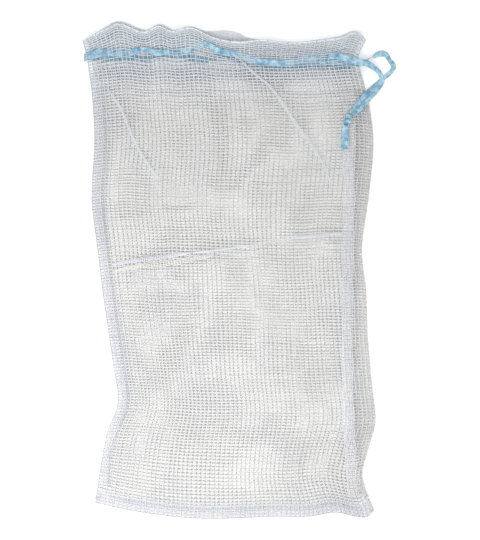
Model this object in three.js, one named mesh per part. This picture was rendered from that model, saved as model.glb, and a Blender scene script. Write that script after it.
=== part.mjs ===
// Mesh laundry bag, lying flat: two net panels sewn along three sides, with a ribbon
// drawstring through the turned hems at the mouth, knotted outside the right-hand side.
//
// Millimetres, +Z up. The bag lies on z = 0 with its mouth towards +Y and the knotted
// ends of the drawstring on its right, +X. The origin is under the middle of the bag.

import * as THREE from 'three';

// ---- Driving dimensions -----------------------------------------------------------

const gap = 0.3;                // left between layers of cloth that touch
const netThickness = 0.8;       // one layer of the net
const seamThickness = 1.0;      // seam allowances pressed between the panels
const hemThickness = 0.6;       // turned-in cloth at the mouth
const loft = 12;                // height of the front panel's underside in mid-bag
const skirt = 45;               // width over which it comes down to the seams
const bagWidth = 392;           // nominal width and length of the flat bag
const bagLength = 686;

const frontAcross = 16;         // facets of the front panel
const frontAlong = 40;

const seamInset = 2;            // from the bag's edge to its seam allowances
const bottomHemWidth = 16;
const lowestRow = -345;         // y of the panels' first row, about where the bottom edge runs
const seamFootLift = 8;         // from the bottom hem up to where the side seams start
const seamTop = 248;            // y where the side seams stop, below the drawstring
const slitStart = 254;          // y where the sides start to open ...
const slitEnd = 266;            // ... and where they are fully open
const hemFoot = 282;            // y of the lower edge of the turned hems
const hemEndShare = 0.02;       // of the bag's width, left free at each end of a turned hem
const hemTopRow = 0.996;        // v of a turned hem's upper edge, just below the mouth's edge

const ribbonThickness = 0.4;
const ribbonWidth = 9.5;
const pullTravel = 120;         // how far the knotted ends draw out
const reserveHold = 12;         // ribbon that is still in the hem when they are drawn out
const exitX = 187;              // where the ribbon leaves the right-hand side
const exitY = 295.5;
const turnX = -204.5;           // where it turns round the left-hand side

const threadRadius = 0.35;
const threadInset = 3;          // stitching, from a side seam's inner line
const threadLift = 0.95;        // its middle, above the panel
const bottomThreadInset = 13;   // stitching, from the bag's bottom edge
const hemThreadInset = 4;       // stitching, from a turned hem's lower edge
const cornerCurl = [-187, -322];        // middle of the loose thread end at the bottom left corner
const knotSize = [6.2, 9.0, 3.6];
const knotCentre = [167, 212.5, 15.8];
const knotTurn = -0.32;         // radians about +Z

// Heights of the layers at the mouth, counted up from the table.
const backTop = netThickness;
const backReserveZ = backTop + gap + ribbonThickness / 2;
const backRunZ = backReserveZ + ribbonThickness + gap;
const backHemLow = backRunZ + ribbonThickness / 2 + gap;
const frontRunZ = loft - gap - ribbonThickness / 2;
const frontReserveZ = frontRunZ - ribbonThickness - gap;
const frontHemLow = frontReserveZ - ribbonThickness / 2 - gap - hemThickness;
const seamLow = netThickness + gap;
const seamHeight = seamLow + seamThickness + gap;

// ---- Materials ----------------------------------------------------------------------

const cloth = (color, roughness) => new THREE.MeshStandardMaterial({ color, roughness, metalness: 0 });
const materials = {
  net: cloth(0xe9e9e6, 0.85),
  selvedge: cloth(0xe4e6ee, 0.85),
  thread: cloth(0xf2f3f6, 0.6),
  ribbon: cloth(0x8cc4e2, 0.4),
};

// ---- The outline ----------------------------------------------------------------------

const edge = (points) => new THREE.SplineCurve(points.map(([x, y]) => new THREE.Vector2(x, y)));

const leftEdge = edge([[-190, -328], [-182, -275], [-173, -228], [-158, -185], [-165, -130],
  [-178, -40], [-188, 40], [-195, 105], [-191, 186], [-195, 256], [-201, 300], [-207, 326]]);
const rightEdge = edge([[205, -338], [189, -292], [196, -255], [207, -212], [202, -160],
  [196, -90], [194, -30], [188, 32], [198, 110], [204, 180], [198, 236], [185, 285],
  [182.5, 302], [187, 315], [193, 327]]);
const bottomEdge = edge([[-190, -328], [-140, -339], [-80, -348], [-20, -351], [60, -348],
  [110, -348], [150, -342], [180, -348], [196, -348], [205, -338]]);
const backMouth = edge([[-207, 326], [-176, 346], [-156, 355], [-122, 342], [-100, 351],
  [-80, 343], [-55, 348], [-30, 341], [8, 340], [32, 331], [90, 326], [125, 329], [158, 334],
  [175, 341], [186, 338], [193, 327]]);
const frontMouth = edge([[-207, 326], [-176, 342], [-156, 350], [-122, 338], [-100, 347],
  [-80, 339], [-52, 344], [-22, 330], [12, 324], [45, 327], [90, 323], [125, 326], [158, 330],
  [174, 337], [185, 335], [193, 327]]);

// The inner edges of the side seams, from just above the bottom hem up to their tops.
const leftSeamLine = edge([[-170, -304], [-163, -245], [-142, -185], [-146, -125], [-160, -40],
  [-168, 20], [-175, 100], [-171, 180], [-175, 250]]);
const rightSeamLine = edge([[182, -314], [180, -240], [178, -185], [176, -85], [177, 14],
  [178, 99], [179, 170], [181, 250]]);

// The point at (u, v) of a panel: u from left to right, v from the bottom to the mouth.
function panelPoint(mouth, u, v) {
  const [left, right] = [leftEdge.getPointAt(v), rightEdge.getPointAt(v)];
  const [low, high] = [bottomEdge.getPointAt(u), mouth.getPointAt(u)];
  const corner = (name) => (1 - u) * (1 - v) * leftEdge.getPointAt(0)[name]
    + u * (1 - v) * rightEdge.getPointAt(0)[name]
    + (1 - u) * v * leftEdge.getPointAt(1)[name] + u * v * rightEdge.getPointAt(1)[name];
  const at = (name) => (1 - u) * left[name] + u * right[name]
    + (1 - v) * low[name] + v * high[name] - corner(name);
  return [at('x'), at('y')];
}

const rowAt = (y) => (y - lowestRow) / bagLength;        // v of the row at about that y

// The front panel's underside: low at the three seams, open at the mouth and at the slits.
function frontUnderside(u, v, y) {
  const rise = (distance) => THREE.MathUtils.smoothstep(distance, 0, skirt);
  const sides = rise(Math.min(u, 1 - u) * bagWidth);
  const slit = THREE.MathUtils.smoothstep(y, slitStart, slitEnd);
  return seamHeight + (loft - seamHeight) * rise(v * bagLength) * Math.max(sides, slit);
}

// ---- Closed solids from sheets and sections -------------------------------------------

// Evenly spaced numbers, both ends included.
const between = (low, high, count) =>
  Array.from({ length: count }, (_, k) => low + (high - low) * k / (count - 1));

function solid(vertices, triangles) {
  const geometry = new THREE.BufferGeometry();
  geometry.setAttribute('position', new THREE.Float32BufferAttribute(vertices.flat(), 3));
  geometry.setIndex(triangles.flat());
  geometry.computeVertexNormals();
  return geometry;
}

// A slab over a grid: place(s, t) gives { x, y, low, high }.
function slab(place, across, along) {
  const [top, under] = [[], []];
  for (let j = 0; j <= along; j++) {
    for (let i = 0; i <= across; i++) {
      const { x, y, low, high } = place(i / across, j / along);
      top.push([x, y, high]);
      under.push([x, y, low]);
    }
  }
  const count = top.length;
  const id = (i, j) => j * (across + 1) + i;
  const triangles = [];
  for (let j = 0; j < along; j++) {
    for (let i = 0; i < across; i++) {
      const [a, b, c, d] = [id(i, j), id(i + 1, j), id(i + 1, j + 1), id(i, j + 1)];
      triangles.push([a, b, c], [a, c, d]);
      triangles.push([a + count, c + count, b + count], [a + count, d + count, c + count]);
    }
  }
  const rim = [];
  for (let i = 0; i < across; i++) rim.push(id(i, 0));
  for (let j = 0; j < along; j++) rim.push(id(across, j));
  for (let i = across; i > 0; i--) rim.push(id(i, along));
  for (let j = along; j > 0; j--) rim.push(id(0, j));
  rim.forEach((a, k) => {
    const b = rim[(k + 1) % rim.length];
    triangles.push([a, a + count, b + count], [a, b + count, b]);
  });
  return solid([...top, ...under], triangles);
}

// A ribbon's flat section, as shares of its width and thickness.
const flatSection = [[0.5, 0], [0.42, 0.5], [0, 0.5], [-0.42, 0.5],
  [-0.5, 0], [-0.42, -0.5], [0, -0.5], [0.42, -0.5]];

// A ribbon along route points [x, y, z, roll in degrees, width]. With roll 0 it lies flat.
// crosswise, if given, holds the direction of its width all the way.
function ribbon(route, steps, crosswise) {
  const path = new THREE.CatmullRomCurve3(route.map(([x, y, z]) => new THREE.Vector3(x, y, z)),
    false, 'centripetal');
  const bend = new THREE.CatmullRomCurve3(route.map(([, , , roll, width]) =>
    new THREE.Vector3(roll, width, 0)), false, 'catmullrom', 0.5);
  const up = new THREE.Vector3(0, 0, 1);
  const vertices = [];
  for (let k = 0; k <= steps; k++) {
    const t = k / steps;
    const middle = path.getPoint(t);
    const tangent = path.getTangent(t);
    const { x: roll, y: width } = bend.getPoint(t);
    const side = (crosswise ?? new THREE.Vector3().crossVectors(up, tangent)).clone().normalize();
    const face = new THREE.Vector3().crossVectors(tangent, side).normalize();
    side.applyAxisAngle(tangent, THREE.MathUtils.degToRad(roll));
    face.applyAxisAngle(tangent, THREE.MathUtils.degToRad(roll));
    for (const [w, h] of flatSection) {
      vertices.push(middle.clone().addScaledVector(side, w * width)
        .addScaledVector(face, h * ribbonThickness).toArray());
    }
  }
  const n = flatSection.length;
  const triangles = [];
  for (let k = 0; k < steps; k++) {
    for (let i = 0; i < n; i++) {
      const [a, b] = [k * n + i, k * n + (i + 1) % n];
      triangles.push([a, b, b + n], [a, b + n, a + n]);
    }
  }
  const last = steps * n;
  for (let i = 1; i < n - 1; i++) {
    triangles.push([0, i + 1, i], [last, last + i, last + i + 1]);
  }
  return solid(vertices, triangles);
}

// A six-sided thread along a list of points.
function thread(points, steps) {
  const section = new THREE.Shape(between(0, Math.PI * 5 / 3, 6).map((angle) =>
    new THREE.Vector2(threadRadius * Math.cos(angle), threadRadius * Math.sin(angle))));
  const path = new THREE.CatmullRomCurve3(points.map((p) => new THREE.Vector3(...p)),
    false, 'centripetal');
  return new THREE.ExtrudeGeometry(section, { steps, extrudePath: path });
}

// ---- The net panels and their seams -----------------------------------------------------

function backPanel() {
  const place = (u, v) => {
    const [x, y] = panelPoint(backMouth, u, v);
    return { x, y, low: 0, high: netThickness };
  };
  return slab(place, 12, 20);
}

function frontPlace(u, v) {
  const [x, y] = panelPoint(frontMouth, u, v);
  const low = frontUnderside(u, v, y);
  return { x, y, low, high: low + netThickness };
}

// The point at (u, v) on the facets of the front panel's upper side.
function onFrontPanel(u, v, lift) {
  const [i, j] = [Math.min(Math.floor(u * frontAcross), frontAcross - 1),
    Math.min(Math.floor(v * frontAlong), frontAlong - 1)];
  const [s, t] = [u * frontAcross - i, v * frontAlong - j];
  const corner = (di, dj) => {
    const { x, y, high } = frontPlace((i + di) / frontAcross, (j + dj) / frontAlong);
    return new THREE.Vector3(x, y, high);
  };
  const middle = s > t ? corner(1, 0).multiplyScalar(s - t) : corner(0, 1).multiplyScalar(t - s);
  return middle.addScaledVector(corner(0, 0), 1 - Math.max(s, t))
    .addScaledVector(corner(1, 1), Math.min(s, t)).add(new THREE.Vector3(0, 0, lift)).toArray();
}

// The row of the panels that is a share t of the way up the side seams.
function seamRow(t) {
  const foot = rowAt(lowestRow + bottomHemWidth + seamFootLift);
  return foot + t * (rowAt(seamTop) - foot);
}

// A strip of seam allowance up one side, between the two panels: from the bag's edge
// to the seam's inner line.
function sideSeam(edgeU, line) {
  const place = (s, t) => {
    const [x, y] = panelPoint(backMouth, edgeU, seamRow(t));
    const inner = line.getPointAt(t);
    const inwards = edgeU < 0.5 ? s : 1 - s;
    return {
      x: x + inwards * (inner.x - x), y: y + inwards * (inner.y - y),
      low: seamLow, high: seamLow + seamThickness,
    };
  };
  return slab(place, 1, 20);
}

function bottomHem() {
  const place = (s, t) => {
    const inset = seamInset / bagWidth;
    const u = inset + s * (1 - 2 * inset);
    const [x, y] = panelPoint(backMouth, u, (seamInset + t * bottomHemWidth) / bagLength);
    return { x, y, low: seamLow, high: seamLow + seamThickness };
  };
  return slab(place, 18, 1);
}

// The cloth turned in at the mouth, which holds the drawstring against the panel.
function mouthHem(mouth, low) {
  const place = (s, t) => {
    const u = hemEndShare + s * (1 - 2 * hemEndShare);
    const foot = rowAt(hemFoot);
    const [x, y] = panelPoint(mouth, u, foot + t * (hemTopRow - foot));
    return { x, y, low, high: low + hemThickness };
  };
  return slab(place, 22, 1);
}

// ---- Sewing threads -----------------------------------------------------------------------

// Stitching that lies on the front panel along points (u, v).
const seamThread = (spots) => thread(spots.map(([u, v]) => onFrontPanel(u, v, threadLift)),
  spots.length - 1);

// Beside a side seam's inner line, on the side towards the bag's edge.
const sideSpots = (line, outward) => between(0.01, 0.99, 32).map((t) => {
  const v = seamRow(t);
  const [left, right] = [leftEdge.getPointAt(v).x, rightEdge.getPointAt(v).x];
  return [(line.getPointAt(t).x + outward * threadInset - left) / (right - left), v];
});
// From one facet inside the left-hand edge to one facet inside the right-hand edge.
const crossSpots = (v) => between(1 / frontAcross, 1 - 1 / frontAcross, 19).map((u) => [u, v]);
const bottomSpots = crossSpots(bottomThreadInset / bagLength);
const hemSpots = crossSpots(rowAt(hemFoot + hemThreadInset));

function backHemThread() {
  const points = hemSpots.map(([u, v]) => {
    const [x, y] = panelPoint(backMouth, u, v);
    return [x, y, backHemLow + hemThickness + gap + threadRadius];
  });
  return thread(points, points.length - 1);
}

// The cut end of the sewing thread, curled at the bottom left corner: a spiral that widens and
// climbs towards the mouth.
function cornerThread() {
  const [x, y] = cornerCurl;
  const low = seamHeight + netThickness + 1.2;
  const points = between(0, 1, 14).map((t) => {
    const angle = 1.5 + 5.2 * t;
    const radius = 1.6 + 2.6 * t;
    return [x + radius * Math.cos(angle), y + radius * Math.sin(angle) + 5 * t, low + t];
  });
  return thread(points, 2 * (points.length - 1));
}

// ---- The drawstring -------------------------------------------------------------------------

// The ribbon inside the hems. Both runs wander a little from side to side.
const frontRun = [[-186, 305], [-155, 309.5], [-122, 313], [-87, 309.5], [-32, 317], [8, 308],
  [41, 297], [79, 293.5], [122, 301.5], [157, 301], [184, exitY]]
  .map(([x, y]) => [x, y, frontRunZ, 0, ribbonWidth]);
const backRun = [[-186, 303], [-122, 301], [-84, 306], [-40, 300], [-8, 305], [41, 294],
  [107, 293], [150, 293], [184, exitY]]
  .map(([x, y]) => [x, y, backRunZ, 0, ribbonWidth]);
const leftTurn = [[-186.5, 304, frontRunZ], [-195, 304, frontRunZ], [-200.5, 304, frontRunZ - 0.6],
  [turnX, 304, (frontRunZ + backRunZ) / 2 + 2.2], [turnX, 304, (frontRunZ + backRunZ) / 2 - 2.2],
  [-200.5, 304, backRunZ + 0.6], [-195, 304, backRunZ], [-186.5, 304, backRunZ]]
  .map(([x, y, z]) => [x, y, z, 0, ribbonWidth]);

// The stretch of each run that follows the knot out of its hem, straight and free to slide.
const reserve = (z) => between(exitX - pullTravel - reserveHold, exitX - 0.5, 5)
  .map((x) => [x, exitY, z, 0, ribbonWidth - 1]);

// The free ends, from the slit to the knot: over the table, then back over the bag's edge.
const frontEnd = [[188, exitY, frontReserveZ, 0, 9], [194, 294.2, 10.3, 4, 9], [200, 291.4, 8.6, 8, 8.5],
  [207, 287, 5.4, 8, 8], [213, 281.5, 3.0, 0, 7.5], [216.4, 275, 2.0, 0, 7],
  [215.5, 267, 1.9, 0, 6.5], [210.8, 259.7, 2.6, 0, 6], [204.8, 252.6, 4.4, 0, 6],
  [198.4, 245.1, 6.4, 0, 6], [192.4, 238.1, 8.0, 0, 6], [186.3, 231.2, 10.2, 0, 6],
  [180.6, 225.3, 12.8, 0, 5.5], [174.8, 220.4, 16.2, 0, 5]];
const backEnd = [[188.4, exitY, backReserveZ, 0, 8.5], [192, 297.5, 3.0, 40, 8],
  [196, 300.2, 5.2, 86, 8], [201, 302.8, 5.4, 90, 8], [206, 305.4, 4.6, 60, 8], [212, 308, 2.2, 18, 8],
  [218.5, 309, 0.9, 0, 8], [224.5, 306, 0.7, 0, 8], [228, 300, 0.7, 0, 7],
  [232, 294.5, 0.7, 0, 7], [233, 288.5, 0.7, 0, 7], [229, 282.5, 0.7, 0, 7],
  [222.5, 277.5, 0.7, 0, 7], [215.5, 271.5, 0.8, 0, 6.5], [208.5, 265, 1.4, 0, 6],
  [202, 259, 4.2, 0, 5.6], [196, 253, 7.3, 0, 5.6], [190, 246.5, 8.0, 0, 6], [184, 239.5, 8.8, 0, 6],
  [178.5, 232, 10.4, 0, 6], [173.5, 225.5, 13.0, 0, 5.5], [170.8, 222.6, 14.8, 0, 5]];

const frontTail = [[164.4, 202.2, 16.2, 0, 6], [163.3, 196, 15.0, 0, 8], [162.6, 188, 14.8, 0, 8.5],
  [162.2, 180, 14.7, 0, 8.5], [161.6, 174, 14.7, 0, 8.5]];
const backTail = [[164.8, 202.2, 14.6, 0, 6], [164.2, 196, 14.0, 0, 8], [164.4, 188, 13.9, 0, 8.5],
  [164.2, 181, 13.8, 0, 8.5], [163.6, 177, 13.8, 0, 8.5]];

function knot() {
  const ball = new THREE.SphereGeometry(1, 14, 8);
  ball.scale(...knotSize);
  return ball;
}

// ---- The assembly ------------------------------------------------------------------------------

const bag = new THREE.Group();
const [stitched, fixedRibbon, drawnRibbon] = [new THREE.Group(), new THREE.Group(), new THREE.Group()];
bag.add(stitched, fixedRibbon, drawnRibbon);

function add(group, name, geometry, material) {
  const mesh = new THREE.Mesh(geometry, material);
  mesh.name = name;
  group.add(mesh);
  return mesh;
}

add(stitched, 'back_panel', backPanel(), materials.net);
add(stitched, 'front_panel', slab(frontPlace, frontAcross, frontAlong), materials.net);
add(stitched, 'left_side_seam', sideSeam(seamInset / bagWidth, leftSeamLine), materials.selvedge);
add(stitched, 'right_side_seam', sideSeam(1 - seamInset / bagWidth, rightSeamLine), materials.selvedge);
add(stitched, 'bottom_hem', bottomHem(), materials.selvedge);
add(stitched, 'front_mouth_hem', mouthHem(frontMouth, frontHemLow), materials.net);
add(stitched, 'back_mouth_hem', mouthHem(backMouth, backHemLow), materials.net);
add(stitched, 'left_seam_thread', seamThread(sideSpots(leftSeamLine, -1)), materials.thread);
add(stitched, 'right_seam_thread', seamThread(sideSpots(rightSeamLine, 1)), materials.thread);
add(stitched, 'bottom_hem_thread', seamThread(bottomSpots), materials.thread);
add(stitched, 'front_mouth_thread', seamThread(hemSpots), materials.thread);
add(stitched, 'back_mouth_thread', backHemThread(), materials.thread);
add(stitched, 'corner_thread_end', cornerThread(), materials.thread);

add(fixedRibbon, 'drawstring_front_run', ribbon(frontRun, 27), materials.ribbon);
add(fixedRibbon, 'drawstring_back_run', ribbon(backRun, 15), materials.ribbon);
add(fixedRibbon, 'drawstring_left_turn', ribbon(leftTurn, 20, new THREE.Vector3(0, 1, 0)),
  materials.ribbon);

add(drawnRibbon, 'drawstring_front_reserve', ribbon(reserve(frontReserveZ), 1), materials.ribbon);
add(drawnRibbon, 'drawstring_back_reserve', ribbon(reserve(backReserveZ), 1), materials.ribbon);
add(drawnRibbon, 'drawstring_front_end', ribbon(frontEnd, 44), materials.ribbon);
add(drawnRibbon, 'drawstring_back_end', ribbon(backEnd, 60), materials.ribbon);
add(drawnRibbon, 'drawstring_front_tail', ribbon(frontTail, 8), materials.ribbon);
add(drawnRibbon, 'drawstring_back_tail', ribbon(backTail, 8), materials.ribbon);

const tie = add(drawnRibbon, 'drawstring_knot', knot(), materials.ribbon);
tie.position.set(...knotCentre);
tie.rotation.z = knotTurn;

export default bag;
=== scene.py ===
"""A white net laundry bag lying flat, with a sky-blue ribbon drawstring knotted at one side.

The net is modelled yarn by yarn. Lengths in the tables below are in millimetres, in the
part's own frame: +Y towards the mouth, +X towards the side where the drawstring comes out.
"""
import math

import bpy
import numpy as np
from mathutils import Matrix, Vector


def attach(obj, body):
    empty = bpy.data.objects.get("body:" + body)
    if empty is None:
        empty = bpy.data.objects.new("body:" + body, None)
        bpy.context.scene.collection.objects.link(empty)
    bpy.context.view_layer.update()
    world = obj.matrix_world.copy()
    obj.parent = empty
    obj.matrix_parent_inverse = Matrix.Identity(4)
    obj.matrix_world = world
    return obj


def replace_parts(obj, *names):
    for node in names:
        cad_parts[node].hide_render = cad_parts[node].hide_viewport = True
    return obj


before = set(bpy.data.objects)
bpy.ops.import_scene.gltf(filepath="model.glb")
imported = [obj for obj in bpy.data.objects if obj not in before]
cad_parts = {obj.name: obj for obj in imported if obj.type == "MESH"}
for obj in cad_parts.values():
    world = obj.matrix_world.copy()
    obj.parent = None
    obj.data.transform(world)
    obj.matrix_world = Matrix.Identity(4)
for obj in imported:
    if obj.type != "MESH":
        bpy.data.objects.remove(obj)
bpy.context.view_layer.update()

MM = 0.001

# ---- Sizes shared with the CAD part ---------------------------------------------------------

BAG_WIDTH, BAG_LENGTH = 392, 686
LOWEST_ROW = -345                                 # y of the row where v is 0, about
NET, SEAM, HEM, RIBBON = 0.8, 1.0, 0.6, 0.4       # thickness of each layer
GAP = 0.3
LOFT, SKIRT = 12, 45                              # height of the front, and how far in it rises
SLIT_START, SLIT_END = 254, 266
SEAM_TOP, HEM_FOOT = 248, 282
BOTTOM_HEM, SEAM_INSET, SEAM_FOOT_LIFT = 16, 2, 8
EXIT_X, EXIT_Y, PULL = 187, 295.5, 120            # where the drawstring leaves; its travel
RESERVE_HOLD = 12                                 # what stays of it in the hems at full pull
TURN_X = -204.5                                   # where it turns round the left-hand side
THREAD_INSET, HEM_THREAD_INSET, BOTTOM_THREAD_INSET = 3, 4, 13
CORNER_CURL = (-187, -322)

BACK_RESERVE_Z = NET + GAP + RIBBON / 2
BACK_RUN_Z = BACK_RESERVE_Z + RIBBON + GAP
BACK_HEM_LOW = BACK_RUN_Z + RIBBON / 2 + GAP
FRONT_RUN_Z = LOFT - GAP - RIBBON / 2
FRONT_RESERVE_Z = FRONT_RUN_Z - RIBBON - GAP
FRONT_HEM_LOW = FRONT_RESERVE_Z - RIBBON / 2 - GAP - HEM
SEAM_LOW = NET + GAP
SEAM_HEIGHT = SEAM_LOW + SEAM + GAP

# Of the looks only: the y up to which the ribbon stretches the nets over it, and how far from
# a seam the cloth begins to be loose and is wholly so.
RIBBON_TOP = 312
SEAM_HOLD, FREE_CLOTH = 8, 60


# ---- Lines and unevenness --------------------------------------------------------------------

def smooth_line(points, steps=24):
    """A smooth line through the points, as a function of the share of its length."""
    knots = np.array(points, float)
    ends = np.vstack([knots[:1], knots, knots[-1:]])
    t = np.linspace(0, 1, steps, endpoint=False)[:, None]
    pieces = []
    for a, b, c, d in zip(ends, ends[1:], ends[2:], ends[3:]):
        start, stop = (c - a) / 2, (d - b) / 2
        pieces.append((2 * t**3 - 3 * t**2 + 1) * b + (t**3 - 2 * t**2 + t) * start
                      + (3 * t**2 - 2 * t**3) * c + (t**3 - t**2) * stop)
    line = np.vstack([*pieces, knots[-1:]])
    run = np.r_[0, np.cumsum(np.linalg.norm(np.diff(line, axis=0), axis=1))]

    def at(share):
        columns = [np.interp(share, run / run[-1], line[:, k]) for k in range(line.shape[1])]
        return np.stack(columns, axis=-1)
    return at


def smooth(value, low, high):
    """0 up to low, 1 from high on, and a smooth rise between."""
    t = np.clip((value - low) / (high - low), 0, 1)
    return t * t * (3 - 2 * t)


def wander(x, y, wavelength, seed):
    """Soft unevenness between about -1 and 1, with bumps about a wavelength apart."""
    draw = np.random.default_rng(seed)
    total = np.zeros(np.broadcast(x, y).shape)
    for _ in range(7):
        angle, phase = draw.uniform(0, 2 * math.pi, 2)
        pace = 2 * math.pi / (wavelength * draw.uniform(0.7, 1.7))
        total += np.sin(pace * (x * math.cos(angle) + y * math.sin(angle)) + phase)
    return total / 3


# ---- The bag's outline and heights ----------------------------------------------------------

LEFT_EDGE = smooth_line([(-190, -328), (-182, -275), (-173, -228), (-158, -185), (-165, -130),
                         (-178, -40), (-188, 40), (-195, 105), (-191, 186), (-195, 256),
                         (-201, 300), (-207, 326)])
RIGHT_EDGE = smooth_line([(205, -338), (189, -292), (196, -255), (207, -212), (202, -160),
                          (196, -90), (194, -30), (188, 32), (198, 110), (204, 180), (198, 236),
                          (185, 285), (182.5, 302), (187, 315), (193, 327)])
BOTTOM_EDGE = smooth_line([(-190, -328), (-140, -339), (-80, -348), (-20, -351), (60, -348),
                           (110, -348), (150, -342), (180, -348), (196, -348), (205, -338)])
BACK_MOUTH = smooth_line([(-207, 326), (-176, 346), (-156, 355), (-122, 342), (-100, 351),
                          (-80, 343), (-55, 348), (-30, 341), (8, 340), (32, 331), (90, 326),
                          (125, 329), (158, 334), (175, 341), (186, 338), (193, 327)])
FRONT_MOUTH = smooth_line([(-207, 326), (-176, 342), (-156, 350), (-122, 338), (-100, 347),
                           (-80, 339), (-52, 344), (-22, 330), (12, 324), (45, 327), (90, 323),
                           (125, 326), (158, 330), (174, 337), (185, 335), (193, 327)])
LEFT_SEAM_LINE = smooth_line([(-170, -304), (-163, -245), (-142, -185), (-146, -125), (-160, -40),
                              (-168, 20), (-175, 100), (-171, 180), (-175, 250)])
RIGHT_SEAM_LINE = smooth_line([(182, -314), (180, -240), (178, -185), (176, -85), (177, 14),
                               (178, 99), (179, 170), (181, 250)])


def panel_xy(mouth, u, v):
    """The point of a panel at (u, v): u from left to right, v from the bottom to the mouth.

    The outline's bends die away towards the middle, so that the yarns run nearly straight there.
    """
    u, v = np.broadcast_arrays(np.asarray(u, float), np.asarray(v, float))
    s, t = u[..., None], v[..., None]
    foot = (1 - s) * LEFT_EDGE(0) + s * RIGHT_EDGE(0)
    top = (1 - s) * LEFT_EDGE(1) + s * RIGHT_EDGE(1)
    left = (1 - t) * LEFT_EDGE(0) + t * LEFT_EDGE(1)
    right = (1 - t) * RIGHT_EDGE(0) + t * RIGHT_EDGE(1)
    near_left = 0.5 * (1 - s) + 0.5 * (1 - smooth(s, 0, 0.4))
    near_right = 0.5 * s + 0.5 * smooth(s, 0.6, 1)
    near_foot = 0.3 * (1 - t) + 0.7 * (1 - smooth(t, 0, 0.15))
    near_top = 0.2 * t + 0.8 * smooth(t, 0.93, 1)
    return ((1 - t) * foot + t * top + near_left * (LEFT_EDGE(v) - left)
            + near_right * (RIGHT_EDGE(v) - right) + near_foot * (BOTTOM_EDGE(u) - foot)
            + near_top * (mouth(u) - top))


def row_at(y):
    """v of the row at about that y."""
    return (y - LOWEST_ROW) / BAG_LENGTH


def seam_row(t):
    """v of the row a share t of the way up the side seams."""
    foot = row_at(LOWEST_ROW + BOTTOM_HEM + SEAM_FOOT_LIFT)
    return foot + t * (row_at(SEAM_TOP) - foot)


def share_across(x, v):
    """u of the point at x in row v."""
    left, right = LEFT_EDGE(v)[..., 0], RIGHT_EDGE(v)[..., 0]
    return (x - left) / (right - left)


def looseness(u, v):
    """0 along the seams, rising to 1 where the cloth is free to wander."""
    beside = smooth(np.minimum(u, 1 - u) * BAG_WIDTH, SEAM_HOLD, FREE_CLOTH)
    return beside * smooth(v * BAG_LENGTH, SEAM_HOLD, FREE_CLOTH)


def front_underside(u, v, y):
    """Height of the front panel's underside: low at the seams, open at the mouth and slits."""
    sides = smooth(np.minimum(u, 1 - u) * BAG_WIDTH, 0, SKIRT)
    slit = smooth(y, SLIT_START, SLIT_END)
    rise = smooth(v * BAG_LENGTH, 0, SKIRT)
    return SEAM_HEIGHT + (LOFT - SEAM_HEIGHT) * rise * np.maximum(sides, slit)


# Creases that the bag keeps from being folded and stuffed: a line, how far to each side it
# reaches, how high it stands (negative is a valley), and how strongly it gathers the yarns.
CREASES = [
    (smooth_line([(9, 306), (34, 281), (61, 257), (98, 203), (131, 155), (144, 121)]), 6, 1.9, 0.45),
    (smooth_line([(-176, 263), (-160, 241), (-150, 224), (-133, 182), (-109, 143), (-93, 124)]),
     5, 1.7, 0.4),
    (smooth_line([(-175, 9), (-120, 16), (-81, 21), (-50, 26), (15, 35), (86, 46), (150, 52)]),
     5, 1.2, 0.35),
    (smooth_line([(-165, -2), (-110, 2), (-60, 9), (0, 20), (60, 30)]), 5, 1.5, 0.3),
    (smooth_line([(-187, 68), (-150, 74), (-90, 80), (-20, 92)]), 5, 0.8, 0.2),
    (smooth_line([(96, -40), (92, -120), (98, -210), (94, -300)]), 6, 1.5, 0.55),
    (smooth_line([(118, -30), (116, -110), (120, -200), (116, -310)]), 5, -1.2, 0.3),
    (smooth_line([(138, -20), (136, -120), (141, -210), (138, -300)]), 6, 1.5, 0.55),
    (smooth_line([(160, 60), (161, -60), (163, -160), (166, -300)]), 5, 1.6, 0.6),
    (smooth_line([(-150, -120), (-128, -170), (-118, -230), (-124, -300)]), 7, 1.3, 0.35),
    (smooth_line([(-96, -150), (-86, -220), (-88, -290)]), 7, 0.9, 0.25),
]


def crease(x, y):
    """How far the creases move points of the front panel, along x, y and z."""
    shift = np.zeros((*x.shape, 3))
    for line, reach, height, pull in CREASES:
        share = np.linspace(0, 1, 90)
        spots = line(share)
        away = np.stack([x, y], -1)[..., None, :] - spots
        distance = np.linalg.norm(away, axis=-1)
        near = distance.argmin(-1)
        gap = np.take_along_axis(distance, near[..., None], -1)[..., 0]
        offset = np.take_along_axis(away, near[..., None, None], -2)[..., 0, :]
        fade = np.sin(math.pi * share[near]) ** 0.6
        shift[..., 2] += height * fade * np.exp(-(gap / reach) ** 2)
        draw_in = pull * fade * np.exp(-(gap / (1.5 * reach)) ** 2)
        shift[..., :2] -= offset * draw_in[..., None]
    return shift


def mouth_wave(x, y):
    """The ruffle of the front layers above the drawstring."""
    return 2.6 * smooth(y, 306, 345) * wander(x, 0.3 * y, 46, 5)


def front_surface(u, v):
    """The middle of the front panel's net, as lofted, creased and ruffled."""
    xy = panel_xy(FRONT_MOUTH, u, v)
    x, y = xy[..., 0], xy[..., 1]
    loose = looseness(u, v)
    body = loose * smooth(275 - y, 0, 40)
    z = front_underside(u, v, y) + NET / 2 + mouth_wave(x, y)
    z = z + body * (1.5 * wander(x, y, 120, 1) + 0.6 * wander(x, y, 42, 2) - 0.6)
    z = z - 1.2 * smooth(v, 0.985, 1)
    lower_left = smooth(-95 - x, 0, 40) * smooth(-140 - y, 0, 60)
    slack = loose * (0.45 + 0.9 * lower_left)
    moved = np.stack([x + slack * wander(x, y, 60, 3), y + slack * wander(x, y, 34, 4), z], -1)
    return moved + body[..., None] * crease(x, y)


def back_tunnel(x, y):
    """How far the back hem is puffed up by the drawstring in it."""
    return 5.8 * smooth(y, 280, 289) * smooth(322 - y, 0, 12) * smooth(190 - np.abs(x), 8, 60)


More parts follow.
